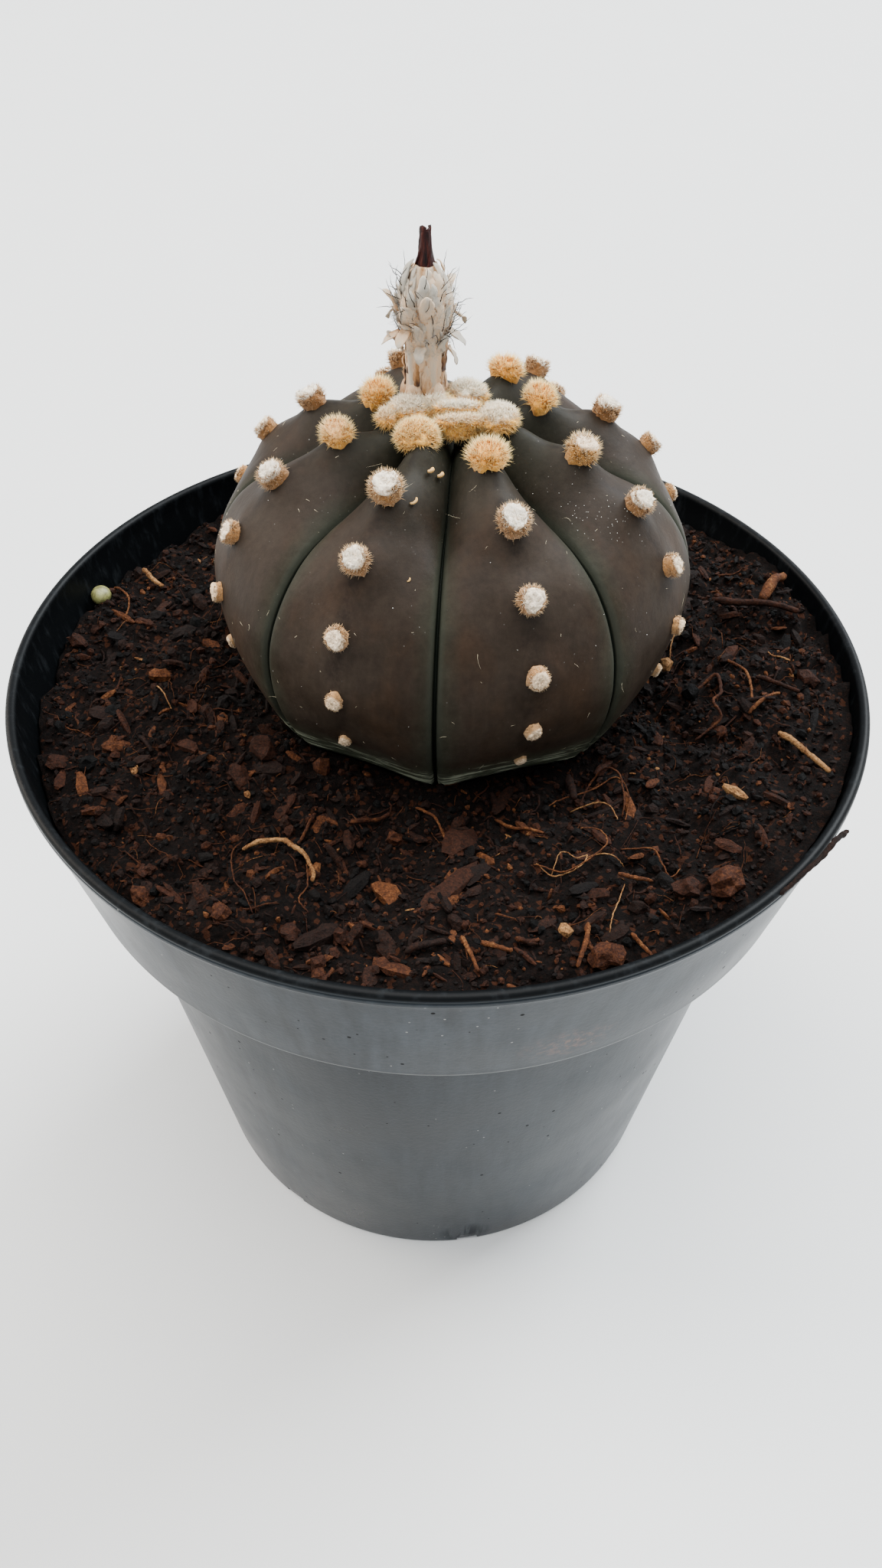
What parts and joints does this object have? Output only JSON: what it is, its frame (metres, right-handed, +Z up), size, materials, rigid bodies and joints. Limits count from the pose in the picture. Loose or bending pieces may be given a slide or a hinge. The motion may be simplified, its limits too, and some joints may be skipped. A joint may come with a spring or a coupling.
{
  "type": "potted star cactus",
  "caption": "Round ribbed cactus with felt areoles, a woolly crown and a spent flower, standing in bark soil in a tapered nursery pot with a deep collar.",
  "frame": {"origin": "centre of the pot's foot, on the surface that it stands on", "axes": "+Z up along the pot's axis; -Y is the front, where the groove between two ribs faces"},
  "size_m": [0.13, 0.13, 0.17],
  "materials": {
    "pot_plastic": "thin black plastic, dusty outside, satin lip",
    "bark_soil": "moist dark peat with red-brown bark chips and pale root fibres",
    "cactus_skin": "matte waxy skin, bronze brown on the ribs and dark green in the grooves",
    "areole_wool": "dense cream wool with orange-tan sides",
    "dry_flower": "grey-white woolly papery scales with dark bristles",
    "dry_petal": "dry maroon-brown twisted petals"
  },
  "bodies": {
    "root": {"pot": "pot_plastic", "soil": "bark_soil", "cactus_body": "cactus_skin", "crown_wool": "areole_wool", "flower_tube": "dry_flower", "flower_tip": "dry_petal"}
  },
  "joints": []
}
